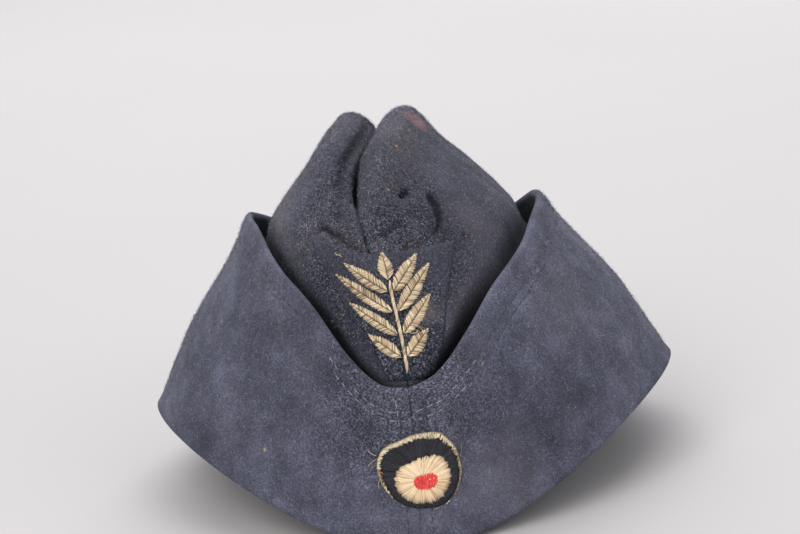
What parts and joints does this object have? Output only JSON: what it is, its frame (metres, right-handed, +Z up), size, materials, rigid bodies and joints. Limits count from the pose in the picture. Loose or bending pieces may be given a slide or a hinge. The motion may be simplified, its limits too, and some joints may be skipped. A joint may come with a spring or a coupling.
{
  "type": "side cap",
  "caption": "Soft two-half wool side cap with a turned-up flap, a lengthwise cleft, a leafy sprig badge and a round thread cockade, opened out as it is worn.",
  "frame": {"origin": "bottom centre of the cap's box, on the surface that its rim rests on", "axes": "+Z up, the front looks towards -Y, +X to the right as seen from the front, +Y along the cap's length to the rear"},
  "size_m": [0.188, 0.1896, 0.1302],
  "materials": {
    "crown_wool": "matt milled wool, blue-grey heather",
    "flap_wool": "matt milled wool, blue-grey heather",
    "patch_wool": "matt wool backing",
    "beige_thread": "embroidery thread, soft sheen",
    "black_felt": "matt black wool",
    "pale_thread": "edge thread, soft sheen",
    "black_thread": "embroidery thread, soft sheen",
    "cream_thread": "embroidery thread, soft sheen",
    "red_thread": "embroidery thread, soft sheen"
  },
  "bodies": {
    "root": {"crown_left": "crown_wool", "crown_right": "crown_wool", "flap_left": "flap_wool", "flap_right": "flap_wool", "emblem_patch": "patch_wool", "sprig_stem": "beige_thread", "sprig_leaf_1": "beige_thread", "sprig_leaf_2": "beige_thread", "sprig_leaf_3": "beige_thread", "sprig_leaf_4": "beige_thread", "sprig_leaf_5": "beige_thread", "sprig_leaf_6": "beige_thread", "sprig_leaf_7": "beige_thread", "sprig_leaf_8": "beige_thread", "sprig_leaf_9": "beige_thread", "roundel_backing": "black_felt", "roundel_border": "pale_thread", "roundel_black": "black_thread", "roundel_cream": "cream_thread", "roundel_red": "red_thread"}
  },
  "joints": []
}
